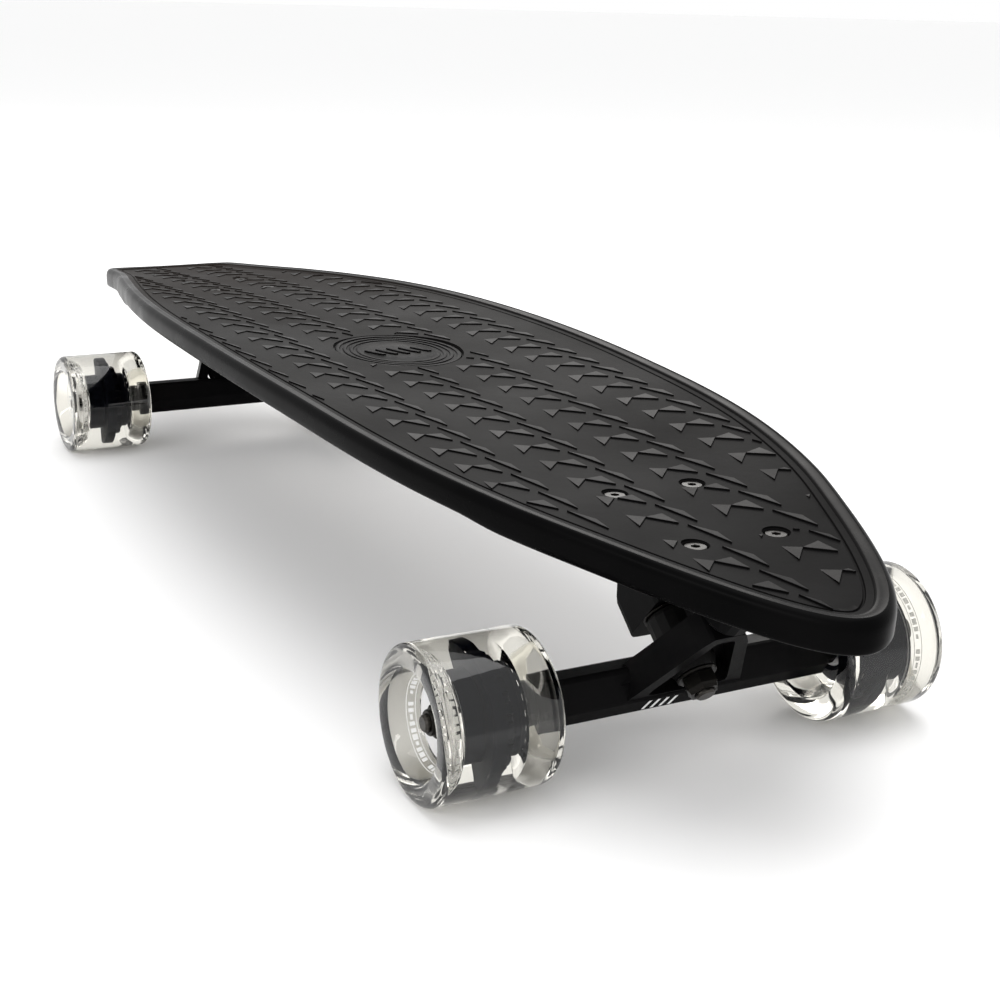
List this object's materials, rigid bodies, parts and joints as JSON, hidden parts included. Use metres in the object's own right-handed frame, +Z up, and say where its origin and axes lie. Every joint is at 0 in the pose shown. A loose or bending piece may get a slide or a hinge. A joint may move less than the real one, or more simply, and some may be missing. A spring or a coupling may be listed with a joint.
{
  "type": "longboard skateboard",
  "caption": "Longboard with a moulded plastic cambered deck, black reverse-kingpin trucks and clear cast wheels with black cores.",
  "frame": {"origin": "centre of the bounding box, on the ground under the wheels", "axes": "+X towards the nose, +Y to the rider's left side looking forward, +Z up"},
  "size_m": [0.9126, 0.2616, 0.134],
  "materials": {
    "deck_plastic": "satin moulded",
    "truck_paint": "satin black paint",
    "black_steel": "black oxide",
    "zinc_steel": "zinc plated",
    "clear_urethane": "clear gloss",
    "core_plastic": "satin",
    "bearing_steel": "polished",
    "bushing_urethane": "matte",
    "pivot_cup_plastic": "matte"
  },
  "bodies": {
    "deck_assembly": {"baseplate_front": "truck_paint", "baseplate_rear": "truck_paint", "deck": "deck_plastic", "deck_bolt_front_1": "black_steel", "deck_bolt_front_2": "black_steel", "deck_bolt_front_3": "black_steel", "deck_bolt_front_4": "black_steel", "deck_bolt_rear_1": "black_steel", "deck_bolt_rear_2": "black_steel", "deck_bolt_rear_3": "black_steel", "deck_bolt_rear_4": "black_steel", "deck_side_bushing_front": "bushing_urethane", "deck_side_bushing_rear": "bushing_urethane", "kingpin_front": "zinc_steel", "kingpin_nut_front": "black_steel", "kingpin_nut_rear": "black_steel", "kingpin_rear": "zinc_steel", "lock_nut_front_1": "zinc_steel", "lock_nut_front_2": "zinc_steel", "lock_nut_front_3": "zinc_steel", "lock_nut_front_4": "zinc_steel", "lock_nut_rear_1": "zinc_steel", "lock_nut_rear_2": "zinc_steel", "lock_nut_rear_3": "zinc_steel", "lock_nut_rear_4": "zinc_steel", "lower_washer_front": "black_steel", "lower_washer_rear": "black_steel", "pivot_cup_front": "pivot_cup_plastic", "pivot_cup_rear": "pivot_cup_plastic", "road_side_bushing_front": "bushing_urethane", "road_side_bushing_rear": "bushing_urethane", "upper_washer_front": "black_steel", "upper_washer_rear": "black_steel"},
    "hanger_front_body": {"axle_front": "zinc_steel", "axle_nut_front_left": "black_steel", "axle_nut_front_right": "black_steel", "hanger_front": "truck_paint"},
    "hanger_rear_body": {"axle_nut_rear_left": "black_steel", "axle_nut_rear_right": "black_steel", "axle_rear": "zinc_steel", "hanger_rear": "truck_paint"},
    "wheel_front_left_body": {"bearing_front_left_inner": "bearing_steel", "bearing_front_left_outer": "bearing_steel", "tyre_front_left": "clear_urethane", "wheel_core_front_left": "core_plastic"},
    "wheel_front_right_body": {"bearing_front_right_inner": "bearing_steel", "bearing_front_right_outer": "bearing_steel", "tyre_front_right": "clear_urethane", "wheel_core_front_right": "core_plastic"},
    "wheel_rear_left_body": {"bearing_rear_left_inner": "bearing_steel", "bearing_rear_left_outer": "bearing_steel", "tyre_rear_left": "clear_urethane", "wheel_core_rear_left": "core_plastic"},
    "wheel_rear_right_body": {"bearing_rear_right_inner": "bearing_steel", "bearing_rear_right_outer": "bearing_steel", "tyre_rear_right": "clear_urethane", "wheel_core_rear_right": "core_plastic"}
  },
  "joints": [
    {"name": "steer_front", "type": "hinge", "parent": "deck_assembly", "child": "hanger_front_body", "pos_m": [0.327, 0, 0.035], "axis": [0.6494, 0, 0.7604], "range_deg": [-15, 15], "stiffness_Nm_per_rad": 60, "deforming": ["deck_side_bushing_front", "road_side_bushing_front"]},
    {"name": "steer_rear", "type": "hinge", "parent": "deck_assembly", "child": "hanger_rear_body", "pos_m": [-0.2763, 0, 0.035], "axis": [-0.6494, 0, 0.7604], "range_deg": [-15, 15], "stiffness_Nm_per_rad": 60, "deforming": ["deck_side_bushing_rear", "road_side_bushing_rear"]},
    {"name": "spin_front_left", "type": "hinge", "parent": "hanger_front_body", "child": "wheel_front_left_body", "pos_m": [0.327, 0.1026, 0.035], "axis": [0, 1, 0], "continuous": true},
    {"name": "spin_front_right", "type": "hinge", "parent": "hanger_front_body", "child": "wheel_front_right_body", "pos_m": [0.327, -0.1026, 0.035], "axis": [0, 1, 0], "continuous": true},
    {"name": "spin_rear_left", "type": "hinge", "parent": "hanger_rear_body", "child": "wheel_rear_left_body", "pos_m": [-0.2763, 0.1026, 0.035], "axis": [0, 1, 0], "continuous": true},
    {"name": "spin_rear_right", "type": "hinge", "parent": "hanger_rear_body", "child": "wheel_rear_right_body", "pos_m": [-0.2763, -0.1026, 0.035], "axis": [0, 1, 0], "continuous": true}
  ]
}
